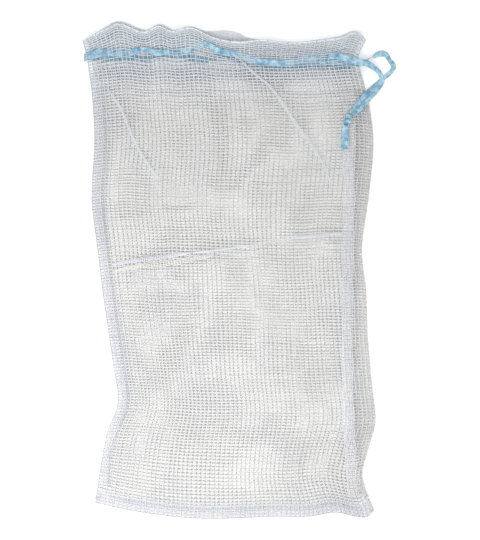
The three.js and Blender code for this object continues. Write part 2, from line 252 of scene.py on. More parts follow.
def back_surface(u, v):
    """The middle of the back panel's net, flat on whatever the bag lies on."""
    xy = panel_xy(BACK_MOUTH, u, v)
    x, y = xy[..., 0], xy[..., 1]
    loose = looseness(u, v)
    lift = 0.55 + 0.5 * loose * (1 + wander(x, y, 70, 11)) * smooth(270 - y, 0, 30)
    return np.stack([x + loose * 2.2 * wander(x, y, 150, 12),
                     y + loose * 1.8 * wander(x, y, 130, 13), lift], -1)


# ---- Meshes ------------------------------------------------------------------------------------

def build(name, vertices, faces, material, body="bag", uvs=None):
    """A smooth-shaded object of vertices in millimetres, riding on a body."""
    mesh = bpy.data.meshes.new(name)
    mesh.from_pydata((np.asarray(vertices) * MM).tolist(), [], faces)
    mesh.polygons.foreach_set("use_smooth", np.ones(len(mesh.polygons), bool))
    if uvs is not None:
        layer = mesh.uv_layers.new(name="Strand")
        corners = np.zeros(len(mesh.loops), int)
        mesh.loops.foreach_get("vertex_index", corners)
        layer.data.foreach_set("uv", np.asarray(uvs, np.float32)[corners].ravel())
    mesh.materials.append(material)
    mesh.validate()
    piece = bpy.data.objects.new(name, mesh)
    bpy.context.scene.collection.objects.link(piece)
    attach(piece, body)
    return piece


def unit(vectors):
    """The vectors, each scaled to length 1."""
    return vectors / np.maximum(np.linalg.norm(vectors, axis=-1, keepdims=True), 1e-9)


# A yarn's section, as shares of its width and thickness.
YARN_SECTION = np.array([(0.5, 0.5), (-0.5, 0.5), (-0.5, -0.5), (0.5, -0.5)])
SWING = 0.42              # how far a yarn rises and dips, as a share of its thickness
JITTER = 0.045            # how far a yarn strays, as a share of the pitch
UNEVENNESS = 0.10         # of a yarn's width
UNEVEN_PITCH = 9


def yarns(points, width, thickness, swing, start=0):
    """Closed yarns along the rows of a grid of points, over and under the crossing ones.

    Returns vertices, faces and strand coordinates. width may vary from point to point.
    """
    rows, columns, _ = points.shape
    along = unit(np.gradient(points, axis=1))
    side = unit(np.cross((0, 0, 1), along))
    face = np.cross(along, side)
    parity = (np.add.outer(np.arange(rows), np.arange(columns)) % 2) * 2 - 1
    middle = points + (swing * parity)[..., None] * face
    width = np.broadcast_to(width, (rows, columns))
    ring = (middle[:, :, None, :]
            + side[:, :, None, :] * (width[..., None] * YARN_SECTION[:, 0])[..., None]
            + face[:, :, None, :] * (thickness * YARN_SECTION[:, 1])[None, None, :, None])
    sides = len(YARN_SECTION)
    corner = start + np.arange(rows * columns * sides).reshape(rows, columns, sides)
    after = np.roll(corner, -1, axis=2)
    walls = np.stack([corner[:, :-1], after[:, :-1], after[:, 1:], corner[:, 1:]], -1)
    caps = [corner[:, 0][:, ::-1], corner[:, -1]]
    faces = walls.reshape(-1, 4).tolist() + np.vstack(caps).tolist()
    run = np.cumsum(np.linalg.norm(np.diff(points, axis=1, prepend=points[:, :1]), axis=-1), 1)
    uvs = np.stack([np.broadcast_to(run[..., None], (rows, columns, sides)),
                    np.broadcast_to(np.arange(sides) / sides, (rows, columns, sides))], -1)
    return ring.reshape(-1, 3), faces, uvs.reshape(-1, 2)


def net(name, surface, us, vs, widths, thickness, material, seed, thinner=0.4):
    """A woven net over a surface: one yarn for each u, lengthwise, and one for each v, crosswise.

    widths are those of the crosswise and the lengthwise yarns. thinner is how much narrower
    they are where they are stretched over the drawstring.
    """
    draw = np.random.default_rng(seed)
    step_u, step_v = us[1] - us[0], vs[1] - vs[0]
    jitter_u = us + np.r_[0, draw.normal(0, JITTER * step_u, len(us) - 2), 0]
    jitter_v = vs + np.r_[0, draw.normal(0, JITTER * step_v, len(vs) - 2), 0]
    grid = surface(jitter_u[None, :], jitter_v[:, None])
    x, y = grid[..., 0], grid[..., 1]
    crosswise, lengthwise = widths
    swing = thickness * SWING
    stretched = smooth(y, HEM_FOOT, HEM_FOOT + 7) * smooth(RIBBON_TOP + 8 - y, 0, 8)
    share = (1 + UNEVENNESS * wander(x, y, UNEVEN_PITCH, seed + 1)) * (1 - thinner * stretched)
    vertices, faces, uvs = yarns(grid, crosswise * share, thickness, swing)
    more = yarns(grid.transpose(1, 0, 2)[:, ::-1], lengthwise * share.T[:, ::-1], thickness,
                 -swing if len(vs) % 2 else swing, start=len(vertices))
    return build(name, np.vstack([vertices, more[0]]), faces + more[1], material,
                 uvs=np.vstack([uvs, more[2]]))


def route_line(route, count):
    """Middles, rolls and widths at count points along a ribbon's route."""
    at = smooth_line(route, 16)(np.linspace(0, 1, count))
    return at[:, :3], np.radians(at[:, 3]), at[:, 4]


RIBBON_FILM, RIBBON_LANES = 0.35, 11


def ribbon(name, route, count, body, seed, cup=0.35, crumple=0.15, crosswise=None):
    """A flat woven tape along a route of points (x, y, z, roll in degrees, width).

    cup and crumple are how far it curls and creases. Before the roll its width is level, or
    points along crosswise. Returns the piece and its middle line.
    """
    middle, roll, width = route_line(route, count)
    along = unit(np.gradient(middle, axis=0))
    reference = np.cross((0, 0, 1), along) if crosswise is None else np.tile(crosswise, (count, 1))
    flat_side = unit(reference)
    flat_face = unit(np.cross(along, flat_side))
    cos, sin = np.cos(roll)[:, None], np.sin(roll)[:, None]
    side = flat_side * cos + flat_face * sin
    face = flat_face * cos - flat_side * sin
    lane = np.linspace(-0.5, 0.5, RIBBON_LANES)
    step = np.arange(count)
    curl = cup * (4 * lane**2 - 0.4)[None, :] * np.sin(0.31 * step + seed)[:, None]
    run = np.r_[0, np.cumsum(np.linalg.norm(np.diff(middle, axis=0), axis=1))]
    height = curl + crumple * wander(run[:, None], lane[None, :] * width[:, None], 5, seed + 70)
    layers = []
    for half in (0.5, -0.5):
        rim = 1 - 0.6 * (np.abs(lane) > 0.49)
        lift = height + half * RIBBON_FILM * rim
        layers.append(middle[:, None] + side[:, None] * (lane[None, :] * width[:, None])[..., None]
                      + face[:, None] * lift[..., None])
    ring = np.concatenate([layers[0], layers[1][:, ::-1]], axis=1)
    around = ring.shape[1]
    corner = np.arange(count * around).reshape(count, around)
    after = np.roll(corner, -1, axis=1)
    walls = np.stack([corner[:-1], corner[1:], after[1:], after[:-1]], -1).reshape(-1, 4).tolist()
    ends = []
    for row, flip in ((0, 1), (count - 1, -1)):
        for k in range(RIBBON_LANES - 1):
            quad = [corner[row, k], corner[row, k + 1],
                    corner[row, around - 2 - k], corner[row, around - 1 - k]]
            ends.append([int(c) for c in quad[::flip]])
    across = np.r_[lane, lane[::-1]]
    uvs = np.stack([np.repeat(run, around), (across[None, :] * width[:, None]).ravel()], -1)
    return build(name, ring.reshape(-1, 3), walls + ends, RIBBON_LOOK, body, uvs), middle


def skin(count, around):
    """Faces of a closed tube of count rings, with around points in each."""
    corner = np.arange(count * around).reshape(count, around)
    after = np.roll(corner, -1, axis=1)
    walls = np.stack([corner[:-1], after[:-1], after[1:], corner[1:]], -1).reshape(-1, 4)
    return walls.tolist() + [corner[0][::-1].tolist(), corner[-1].tolist()]


def strand(points, radius, sides=6):
    """Vertices and faces of a closed round thread along points."""
    points = np.asarray(points, float)
    along = unit(np.gradient(points, axis=0))
    side = unit(np.cross((0.05, 0.02, 1), along))
    face = np.cross(along, side)
    angle = np.arange(sides) * 2 * math.pi / sides
    radius = np.broadcast_to(radius, len(points))
    ring = points[:, None] + radius[:, None, None] * (
        np.cos(angle)[None, :, None] * side[:, None] + np.sin(angle)[None, :, None] * face[:, None])
    return ring.reshape(-1, 3), skin(len(points), sides)


def bundle(name, strands, material, body="bag"):
    """Many separate threads as one object."""
    vertices, faces, start = [], [], 0
    for ring, polygons in strands:
        vertices.append(ring)
        faces += [[c + start for c in polygon] for polygon in polygons]
        start += len(ring)
    return build(name, np.vstack(vertices), faces, material, body)


STITCH_TAPER = np.array([0.55, 0.95, 1, 1, 0.95, 0.55])


def stitches(name, path, look, pitch, length, radius, sink):
    """A row of lockstitches along a dense path: each one rises out of the cloth and dips back."""
    run = np.r_[0, np.cumsum(np.linalg.norm(np.diff(path, axis=0), axis=1))]
    share = np.linspace(0, 1, len(STITCH_TAPER))
    row = []
    for begin in np.arange(1, run[-1] - length, pitch):
        at = begin + share * length
        spots = np.stack([np.interp(at, run, path[:, k]) for k in range(3)], -1)
        spots[:, 2] -= sink * (2 * share - 1) ** 4
        row.append(strand(spots, radius * STITCH_TAPER))
    return bundle(name, row, look)


# ---- Materials ---------------------------------------------------------------------------------

MIX_FIRST, MIX_SECOND, MIX_RESULT = 6, 7, 2       # the colour sockets of a Mix node
TURN = 2 * math.pi


def material(name, color, roughness, sheen=0.0):
    """A principled material, its shader, its node tree and a helper that adds nodes."""
    made = bpy.data.materials.new(name)
    made.use_nodes = True
    tree = made.node_tree
    shader = tree.nodes["Principled BSDF"]
    shader.inputs["Base Color"].default_value = (*color, 1)
    shader.inputs["Roughness"].default_value = roughness
    shader.inputs["Sheen Weight"].default_value = sheen
    shader.inputs["Sheen Roughness"].default_value = 0.6

    def node(kind, **inputs):
        added = tree.nodes.new(kind)
        for key, value in inputs.items():
            socket = added.inputs[key.replace("_", " ")]
            if isinstance(value, bpy.types.NodeSocket):
                tree.links.new(value, socket)
            else:
                socket.default_value = value
        return added
    return made, shader, tree, node


BLUE_CAST_START, BLUE_CAST_END = 225, 315                   # y between which the cloth takes on its painted blue cast and painted shade


def cloth_look(name, light, dark, twist, fuzz, mouth=None):
    """Spun yarn: plied twist and loose fibres in the bump, slightly uneven whiteness.

    twist is the turns of the plies in each millimetre. mouth is the colour that the cloth
    turns to towards the mouth: a painted blue cast and painted shade, for the light from the blue
    drawstring.
    """
    made, shader, tree, node = material(name, light, 0.88, 0.25)
    shader.inputs["Subsurface Weight"].default_value = 0.35
    shader.inputs["Subsurface Radius"].default_value = (1, 1, 1)
    shader.inputs["Subsurface Scale"].default_value = 0.0008
    place = node("ShaderNodeTexCoord").outputs["Object"]
    patches = node("ShaderNodeTexNoise", Vector=place, Scale=14.0, Detail=4.0)
    fibres = node("ShaderNodeTexNoise", Vector=place, Scale=2600.0, Detail=3.0)
    tint = node("ShaderNodeMix")
    tint.data_type = "RGBA"
    ramp = node("ShaderNodeMapRange", Value=patches.outputs["Fac"])
    ramp.inputs["From Min"].default_value = 0.35
    ramp.inputs["From Max"].default_value = 0.65
    tree.links.new(ramp.outputs["Result"], tint.inputs["Factor"])
    tint.inputs[MIX_FIRST].default_value = (*dark, 1)
    tint.inputs[MIX_SECOND].default_value = (*light, 1)
    color = tint.outputs[MIX_RESULT]
    # Painted blue cast and painted shade towards the mouth, round the drawstring.
    if mouth:
        height = node("ShaderNodeSeparateXYZ", Vector=place)
        near = node("ShaderNodeMapRange", Value=height.outputs["Y"])
        near.interpolation_type = "SMOOTHSTEP"
        near.inputs["From Min"].default_value = BLUE_CAST_START * MM
        near.inputs["From Max"].default_value = BLUE_CAST_END * MM
        blue_cast = node("ShaderNodeMix")
        blue_cast.data_type = "RGBA"
        tree.links.new(near.outputs["Result"], blue_cast.inputs["Factor"])
        tree.links.new(color, blue_cast.inputs[MIX_FIRST])
        blue_cast.inputs[MIX_SECOND].default_value = (*mouth, 1)
        color = blue_cast.outputs[MIX_RESULT]
    tree.links.new(color, shader.inputs["Base Color"])
    strand_uv = node("ShaderNodeUVMap")
    strand_uv.uv_map = "Strand"
    split = node("ShaderNodeSeparateXYZ", Vector=strand_uv.outputs["UV"])
    turns = node("ShaderNodeMath")
    turns.operation = "MULTIPLY_ADD"
    tree.links.new(split.outputs["X"], turns.inputs[0])
    turns.inputs[1].default_value = twist
    tree.links.new(split.outputs["Y"], turns.inputs[2])
    wave = node("ShaderNodeMath")
    wave.operation = "SINE"
    scaled = node("ShaderNodeMath")
    scaled.operation = "MULTIPLY"
    tree.links.new(turns.outputs[0], scaled.inputs[0])
    scaled.inputs[1].default_value = TURN
    tree.links.new(scaled.outputs[0], wave.inputs[0])
    plies = node("ShaderNodeBump", Strength=0.5, Distance=0.0002)
    tree.links.new(wave.outputs[0], plies.inputs["Height"])
    loose = node("ShaderNodeBump", Strength=fuzz, Distance=0.0002)
    tree.links.new(fibres.outputs["Fac"], loose.inputs["Height"])
    tree.links.new(plies.outputs["Normal"], loose.inputs["Normal"])
    tree.links.new(loose.outputs["Normal"], shader.inputs["Normal"])
    return made


RIB_PITCH, PICK_PITCH = 0.55, 0.7                 # of the ribbon's own weave
# The two ends of the ribbon's streaks: the deep blue is partly painted shade, the pale blue partly
# painted highlight.
DEEP_BLUE_AND_SHADE, PALE_BLUE_AND_HIGHLIGHT = (0.05, 0.20, 0.335), (0.40, 0.60, 0.70)


def ribbon_look():
    """Satin tape: fine lengthwise ribs and crosswise picks, streaked and blotchy: partly its own uneven
    colour, partly painted highlights and painted shade of its creases.
    """
    made, shader, tree, node = material("ribbon_satin", (0.30, 0.62, 0.85), 0.42, 0.4)
    place = node("ShaderNodeTexCoord").outputs["Object"]
    strand_uv = node("ShaderNodeUVMap")
    strand_uv.uv_map = "Strand"
    split = node("ShaderNodeSeparateXYZ", Vector=strand_uv.outputs["UV"])
    ribs = node("ShaderNodeMath")
    ribs.operation = "SINE"
    pitch = node("ShaderNodeMath")
    pitch.operation = "MULTIPLY"
    tree.links.new(split.outputs["Y"], pitch.inputs[0])
    pitch.inputs[1].default_value = TURN / RIB_PITCH
    tree.links.new(pitch.outputs[0], ribs.inputs[0])
    picks = node("ShaderNodeMath")
    picks.operation = "SINE"
    weft = node("ShaderNodeMath")
    weft.operation = "MULTIPLY"
    tree.links.new(split.outputs["X"], weft.inputs[0])
    weft.inputs[1].default_value = TURN / PICK_PITCH
    tree.links.new(weft.outputs[0], picks.inputs[0])
    stretched = node("ShaderNodeMapping", Vector=strand_uv.outputs["UV"])
    stretched.inputs["Scale"].default_value = (0.14, 1.3, 1)
    streaks = node("ShaderNodeTexNoise", Vector=stretched.outputs["Vector"], Scale=1.0, Detail=5.0,
                   Roughness=0.65)
    blotch = node("ShaderNodeTexNoise", Vector=place, Scale=120.0, Detail=3.0, Roughness=0.6)
    both = node("ShaderNodeMath")
    both.operation = "ADD"
    tree.links.new(streaks.outputs["Fac"], both.inputs[0])
    tree.links.new(blotch.outputs["Fac"], both.inputs[1])
    fade = node("ShaderNodeMapRange", Value=both.outputs[0])
    fade.inputs["From Min"].default_value = 0.80
    fade.inputs["From Max"].default_value = 1.20
    # The pale streaks are partly painted highlights, the deep blotches partly painted shade of creases.
    tint = node("ShaderNodeMix")
    tint.data_type = "RGBA"
    tree.links.new(fade.outputs["Result"], tint.inputs["Factor"])
    tint.inputs[MIX_FIRST].default_value = (*DEEP_BLUE_AND_SHADE, 1)
    tint.inputs[MIX_SECOND].default_value = (*PALE_BLUE_AND_HIGHLIGHT, 1)
    tree.links.new(tint.outputs[MIX_RESULT], shader.inputs["Base Color"])
    # The ribbon has a painted glow: it emits its own streaked colour, though it is no lamp.
    tree.links.new(tint.outputs[MIX_RESULT], shader.inputs["Emission Color"])
    shader.inputs["Emission Strength"].default_value = 0.14      # painted glow, standing in for the light that seeps through the satin
    rib_bump = node("ShaderNodeBump", Strength=0.5, Distance=0.0001)
    tree.links.new(ribs.outputs[0], rib_bump.inputs["Height"])
    weft_bump = node("ShaderNodeBump", Strength=0.3, Distance=0.0001)
    tree.links.new(picks.outputs[0], weft_bump.inputs["Height"])
    tree.links.new(rib_bump.outputs["Normal"], weft_bump.inputs["Normal"])
    tree.links.new(weft_bump.outputs["Normal"], shader.inputs["Normal"])
    return made


# The net's mouth colour is a painted blue cast and painted shade from the drawstring.
NET_LOOK = cloth_look("net_yarn", (0.65, 0.655, 0.645), (0.595, 0.60, 0.595), 0.7, 0.5,
                      mouth=(0.645, 0.685, 0.735))
HEM_LOOK = cloth_look("hem_yarn", (0.83, 0.87, 0.92), (0.78, 0.82, 0.88), 0.9, 0.6)
SELVEDGE_LOOK = cloth_look("seam_yarn", (0.845, 0.875, 0.955), (0.795, 0.825, 0.915), 0.9, 0.6)
# The sewing thread is white; its grey is painted shade, for the thin shadow line along the seams.
SHADED_THREAD_LOOK = cloth_look("sewing_thread_painted_shade", (0.52, 0.53, 0.55), (0.44, 0.45, 0.47), 1.4, 0.3)
# Its bluish grey is painted shade, for the shaded side of a fold.
FOLD_SHADE_LOOK = cloth_look("fold_yarn_painted_shade", (0.67, 0.69, 0.735), (0.60, 0.62, 0.67), 0.7, 0.5)
# Creamy painted highlight, for the side of a fold that catches the light.
GLINT_LOOK = cloth_look("glint_yarn", (0.78, 0.77, 0.73), (0.66, 0.65, 0.62), 0.7, 0.5)
FLAP_LOOK = cloth_look("flap_yarn", (0.83, 0.83, 0.825), (0.76, 0.76, 0.755), 0.8, 0.6)
RIBBON_LOOK = ribbon_look()


# ---- Camera, floor and light ---------------------------------------------------------------------

# In metres, apart from the sensor. SEEN_HEIGHT is what the picture's height takes in at z = 0.
CAMERA_X, CAMERA_Y, CAMERA_HEIGHT = 0.0153, 0.0019, 2.2
SEEN_HEIGHT = 0.7668
SENSOR = 36
FLOOR_HALF, FLOOR_DROP = 6, 0.0004
LAMP_PLACE, LAMP_SIZE, LAMP_POWER = (-0.12, -0.24, 0.56), 0.7, 3.8


def camera():
    """Straight above the bag, looking down, with +Y up in the picture."""
    scene = bpy.context.scene
    scene.view_settings.view_transform = "Standard"
    eye = bpy.data.cameras.new("eye")
    eye.sensor_width = SENSOR
    eye.lens = SENSOR * CAMERA_HEIGHT / SEEN_HEIGHT
    holder = bpy.data.objects.new("eye", eye)
    holder.location = (CAMERA_X, CAMERA_Y, CAMERA_HEIGHT)
    scene.collection.objects.link(holder)
    scene.camera = holder


def studio():
    """White surroundings, a white paper floor just under the bag and one soft lamp."""
    scene = bpy.context.scene
    world = bpy.data.worlds.new("studio")
    scene.world = world
    world.use_nodes = True
    world.node_tree.nodes["Background"].inputs["Color"].default_value = (1, 1, 1, 1)
    world.node_tree.nodes["Background"].inputs["Strength"].default_value = 0.86

    floor_mesh = bpy.data.meshes.new("floor")
    corners = [(-1, -1), (1, -1), (1, 1), (-1, 1)]
    floor_mesh.from_pydata([(x * FLOOR_HALF, y * FLOOR_HALF, -FLOOR_DROP) for x, y in corners],
                           [], [(0, 1, 2, 3)])
    paper, shader, _, _ = material("white_paper", (0.95, 0.95, 0.95), 0.9)
    shader.inputs["Emission Color"].default_value = (1, 1, 1, 1)
    shader.inputs["Emission Strength"].default_value = 0.17
    floor_mesh.materials.append(paper)
    floor = bpy.data.objects.new("floor", floor_mesh)
    scene.collection.objects.link(floor)

    lamp = bpy.data.lights.new("key", "AREA")
    lamp.size = LAMP_SIZE
    lamp.energy = LAMP_POWER
    light = bpy.data.objects.new("key", lamp)
    light.location = LAMP_PLACE
    light.rotation_euler = (-Vector(LAMP_PLACE)).to_track_quat("-Z", "Y").to_euler()
    scene.collection.objects.link(light)


# ---- The drawstring's free ends -----------------------------------------------------------------

FRONT_END = [(188, EXIT_Y, FRONT_RESERVE_Z, 0, 9), (194, 294.2, 10.3, 4, 9),
             (200, 291.4, 8.6, 14, 8.5), (207, 287, 5.4, 8, 7.5), (212.4, 282, 3.0, -6, 7.2),
             (216.2, 275.5, 2.0, 0, 6.6), (216.4, 268.5, 1.9, 0, 7.4), (211.8, 260.4, 2.8, 8, 7.2),
             (205.6, 252.6, 4.7, 10, 7.2), (198.4, 245.1, 6.9, 12, 7), (192.4, 238.1, 8.5, 10, 7),
             (186.3, 231.2, 10.7, 8, 6.8), (180.6, 225.3, 13.0, 4, 6), (174.8, 220.4, 16.2, 0, 5)]
BACK_END = [(188.4, EXIT_Y, BACK_RESERVE_Z, 0, 8.5), (192, 297.5, 3.0, 40, 8),
            (196, 300.2, 5.2, 86, 8), (201, 302.8, 5.4, 90, 8), (206, 305.4, 4.4, 52, 8),
            (212, 308, 2.2, 14, 8.2), (218.5, 309, 0.9, 0, 8.8), (223.2, 306.8, 0.8, 0, 7.8),
            (226, 302.4, 0.8, 4, 6.2), (228.2, 298.6, 1.0, -8, 6.0), (231.4, 294.8, 1.0, 6, 7.0),
            (233.2, 290.2, 0.8, 0, 7.6), (231.6, 285.4, 0.9, 0, 6.4), (227.6, 281.6, 0.8, 0, 6.8),
            (222.5, 277, 0.7, 0, 7), (215.5, 271.0, 0.8, 0, 6.5), (208.5, 265, 1.4, 0, 6),
            (202, 259, 4.0, 0, 6.6), (196, 253, 7.0, 4, 6.8), (190, 246.5, 7.8, 6, 6.8),
            (184, 239.5, 8.4, 6, 6.8), (178.5, 232, 10.2, 4, 6.6), (173.5, 225.5, 13.0, 0, 5.5),
            (170.8, 222.6, 14.8, 0, 5)]
FRONT_TAIL = [(165.2, 205.6, 16.4, 0, 6.6), (163.6, 198, 15.2, 0, 8.2), (162.6, 188, 14.8, 0, 8.5),
              (162.2, 180, 14.7, 0, 8.5), (161.6, 174, 14.7, 0, 8.5)]
BACK_TAIL = [(164.8, 202.2, 14.6, 0, 6), (164.2, 196, 14.0, 0, 8), (164.4, 188, 13.9, 0, 8.5),
             (164.2, 181, 13.8, 0, 8.5), (163.6, 177, 13.8, 0, 8.5)]
KNOT_CENTRE = (167, 212.5, 15.8)
KNOT_REACH = (4.2, 6.2, 2.7)                      # from its centre to the middle of its wraps
KNOT_LEAN = -0.32
KNOT_TURNS, KNOT_START, KNOT_STEPS, KNOT_LANES = 2.2, 0.6, 90, 9
WRAP_WIDTH, WRAP_SLANT, WRAP_FOLD = 6.4, 1.6, 0.45


def knot():
    """The overhand knot: one ribbon wrapped slantwise round the other, pulled tight."""
    wide, long, tall = KNOT_REACH
    share = np.linspace(0, 1, KNOT_STEPS)
    angle = TURN * KNOT_TURNS * share - KNOT_START
    swell = 0.80 + 0.20 * np.sin(math.pi * share)
    local = np.stack([wide * swell * np.cos(angle),
                      long * (1 - 2 * share) + WRAP_SLANT * np.sin(angle),
                      tall * swell * np.sin(angle)], -1)
    cos, sin = math.cos(KNOT_LEAN), math.sin(KNOT_LEAN)
    turned = np.stack([local[:, 0] * cos - local[:, 1] * sin,
                       local[:, 0] * sin + local[:, 1] * cos, local[:, 2]], -1)
    middle = turned + KNOT_CENTRE
    axis = np.array((-sin, cos, 0))
    along = unit(np.gradient(middle, axis=0))
    side = unit(axis - along * (along @ axis)[:, None])
    face = np.cross(along, side)
    lane = np.linspace(-0.5, 0.5, KNOT_LANES)
    fold = WRAP_FOLD * np.cos(lane * 3 * math.pi)
    top = (middle[:, None] + side[:, None] * (lane * WRAP_WIDTH)[None, :, None]
           - face[:, None] * (fold + RIBBON / 2)[None, :, None])
    low = top + face[:, None] * RIBBON
    ring = np.concatenate([top, low[:, ::-1]], axis=1)
    around = ring.shape[1]
    run = np.r_[0, np.cumsum(np.linalg.norm(np.diff(middle, axis=0), axis=1))]
    across = np.r_[lane, lane[::-1]] * WRAP_WIDTH
    uvs = np.stack([np.repeat(run, around), np.tile(across, KNOT_STEPS)], -1)
    wrap = build("knot_wraps", ring.reshape(-1, 3), skin(KNOT_STEPS, around), RIBBON_LOOK,
                 "drawstring", uvs)
    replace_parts(wrap, "drawstring_knot")
    return wrap


FRAY_HAIRS, FRAY_RADIUS, FRAY_ROOT = 13, 0.13, 0.6


def frayed_end(name, tip, heading, width, seed):
    """Loose filaments at a cut end of the ribbon."""
    draw = np.random.default_rng(seed)
    heading = np.array(heading, float) / np.linalg.norm(heading)
    side = np.array((-heading[1], heading[0], 0))
    hairs = []
    for offset in np.linspace(-0.46, 0.46, FRAY_HAIRS):
        length = draw.uniform(1.2, 3.8)
        lean, lift = draw.uniform(-0.35, 0.35), draw.uniform(-0.02, 0.12)
        share = np.linspace(0, 1, 5)[:, None]
        base = np.array(tip) + side * offset * width - heading * FRAY_ROOT
        spots = base + share * length * heading + share**2 * length * (lean * side + (0, 0, lift))
        hairs.append(strand(spots, FRAY_RADIUS, 5))
    return bundle(name, hairs, RIBBON_LOOK, "drawstring")


def free_ends():
    """The knot, its two tails and the two ends of the drawstring that lead to it."""
    tie = knot()
    front_tail, _ = ribbon("ribbon_front_tail", FRONT_TAIL, 26, "drawstring", cup=0.2, seed=2)
    back_tail, _ = ribbon("ribbon_back_tail", BACK_TAIL, 24, "drawstring", cup=0.12, seed=1)
    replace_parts(front_tail, "drawstring_front_tail")
    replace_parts(back_tail, "drawstring_back_tail")
    frays = [frayed_end("front_tail_fray", FRONT_TAIL[-1][:3], (-0.6, -6, 0), 8.2, 21),
             frayed_end("back_tail_fray", BACK_TAIL[-1][:3], (-0.6, -4, 0), 8.2, 22)]
    front, front_path = ribbon("ribbon_front_end", FRONT_END, 110, "drawstring", crumple=0.5, seed=3)
    back, back_path = ribbon("ribbon_back_end", BACK_END, 140, "drawstring", crumple=0.5, seed=4)
    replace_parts(front, "drawstring_front_end")
    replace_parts(back, "drawstring_back_end")


# ---- The drawstring inside the hems --------------------------------------------------------------

OVER, UNDER = LOFT + NET + 1.0, FRONT_RUN_Z       # the ribbon above and below the front net
UNDER_SPREAD = 1.14                               # how much wider it lies below the net
FRONT_RUN = [(-180, 308, OVER, 0, 9), (-174, 309, OVER - 0.4, 0, 9), (-166, 309.5, UNDER, 0, 9.5),
             (-150, 309.5, UNDER, 0, 10), (-140, 309, UNDER, 0, 9.5), (-133, 310.5, OVER, 0, 8),
             (-122, 313.5, OVER + 0.6, 22, 6), (-112, 311, OVER + 0.2, 10, 7),
             (-101, 308.5, OVER, 0, 9.5), (-90, 309, OVER - 0.2, 0, 8), (-82, 309.5, UNDER, 0, 9),
             (-66, 311, UNDER, 0, 9.5), (-52, 315, UNDER, 0, 9.5), (-42, 319, UNDER, 0, 9),
             (-34, 321.5, OVER, 0, 7), (-26, 318, OVER + 0.6, 14, 7.5), (-17, 312, OVER + 0.4, 6, 9),
             (-5, 309, OVER, 0, 9.5), (6, 308, OVER - 0.2, 0, 8.5), (14, 305.5, UNDER, 0, 9.5),
             (24, 302, UNDER, 0, 9.5), (36, 298, UNDER, 0, 9.5), (44, 296, OVER, 0, 8.5),
             (61, 294.5, OVER + 0.2, 0, 8), (76, 293.5, OVER, 0, 8), (85, 294, UNDER, 0, 9.5),
             (100, 299, UNDER, 0, 9.5), (122, 303, UNDER, 0, 9.5), (140, 304.5, UNDER, 0, 9.5),
             (150, 304, OVER, 0, 9), (160, 302, OVER, 0, 9.5), (172, 299, OVER, 0, 9.5),
             (182, 296, OVER - 0.4, 0, 9), (189, 295, 12.3, 0, 8.6)]
# The run in the back hem has no roll: x, y and width.
BACK_RUN = [(-186, 303, 9.5), (-155, 302.5, 9.5), (-135, 302.5, 8), (-122, 300.5, 7),
            (-108, 304, 8.5), (-84, 307, 9.5), (-63, 305.5, 9), (-51, 300.5, 8), (-34, 299, 8),
            (-22, 302, 8.5), (-8, 306.5, 9.5), (15, 300, 9.5), (41, 292, 9.5), (65, 290, 9.5),
            (86, 290.5, 9.5), (107, 291, 9.5), (136, 291, 9.5), (153, 291.5, 9.5),
            (184, EXIT_Y, 9.5)]
LEFT_TURN = [(-178, 308.5, OVER, 0, 9.5), (-188, 308, OVER + 0.2, 0, 11),
             (-197, 305, OVER - 0.3, 0, 12), (TURN_X, 302, 9.4, 0, 12), (TURN_X, 303, 5, 0, 11),
             (-200.5, 304, BACK_RUN_Z + 0.6, 0, 9.5), (-195, 304, BACK_RUN_Z, 0, 9.5),
             (-186.5, 304, BACK_RUN_Z, 0, 9.5)]


def fixed_ribbons():
    """The ribbon in the hems: along the front it dips through the net and comes up again."""
    front = [(x, y, z + float(mouth_wave(x, y)), roll, width * (UNDER_SPREAD if z == UNDER else 1))
             for x, y, z, roll, width in FRONT_RUN]
    back = [(x, y, BACK_RUN_Z + float(back_tunnel(x, y)), 0, width) for x, y, width in BACK_RUN]
    front_run, _ = ribbon("ribbon_front_run", front, 240, "bag", cup=0.3, crumple=0.25, seed=5)
    back_run, _ = ribbon("ribbon_back_run", back, 120, "bag", cup=0.1, seed=6)
    left_turn, _ = ribbon("ribbon_left_turn", LEFT_TURN, 60, "bag", cup=0.15, crosswise=(0, 1, 0),
                          seed=7)
    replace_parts(front_run, "drawstring_front_run")
    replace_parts(back_run, "drawstring_back_run")
    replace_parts(left_turn, "drawstring_left_turn")
    inner, outer = EXIT_X - PULL - RESERVE_HOLD, EXIT_X - 0.5
    for side, height in (("front", FRONT_RESERVE_Z), ("back", BACK_RESERVE_Z)):
        route = [(x, EXIT_Y, height, 0, 8.5) for x in np.linspace(inner, outer, 5)]
        reserve, _ = ribbon(f"ribbon_{side}_reserve", route, 50, "drawstring", cup=0.08, seed=8)
        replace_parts(reserve, f"drawstring_{side}_reserve")


# ---- The nets and seams ---------------------------------------------------------------------------

# Yarns in each panel. The front's last crosswise ones, above the drawstring, lie closer.
FRONT_LENGTHWISE, FRONT_CROSSWISE, FRONT_CLOSER = 63, 150, 10
BACK_LENGTHWISE, BACK_CROSSWISE = 62, 155
PANEL_YARN = (1.35, 1.15)
FIRST_CLOSER = 0.0048                             # in v, from the row below it


def panels():
    """The two panels, woven yarn by yarn, with the front's pleats."""
    ribbon_row = row_at(RIBBON_TOP)
    rows = np.r_[np.linspace(0, ribbon_row, FRONT_CROSSWISE),
                 np.linspace(ribbon_row + FIRST_CLOSER, 1, FRONT_CLOSER)]
    front = net("front_net", front_surface, np.linspace(0, 1, FRONT_LENGTHWISE), rows,
                PANEL_YARN, 0.72, NET_LOOK, 31)
    back = net("back_net", back_surface, np.linspace(0, 1, BACK_LENGTHWISE),
               np.linspace(0, 1, BACK_CROSSWISE), PANEL_YARN, 0.68, NET_LOOK, 41)
    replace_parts(front, "front_panel")
    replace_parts(back, "back_panel")
    pleats()


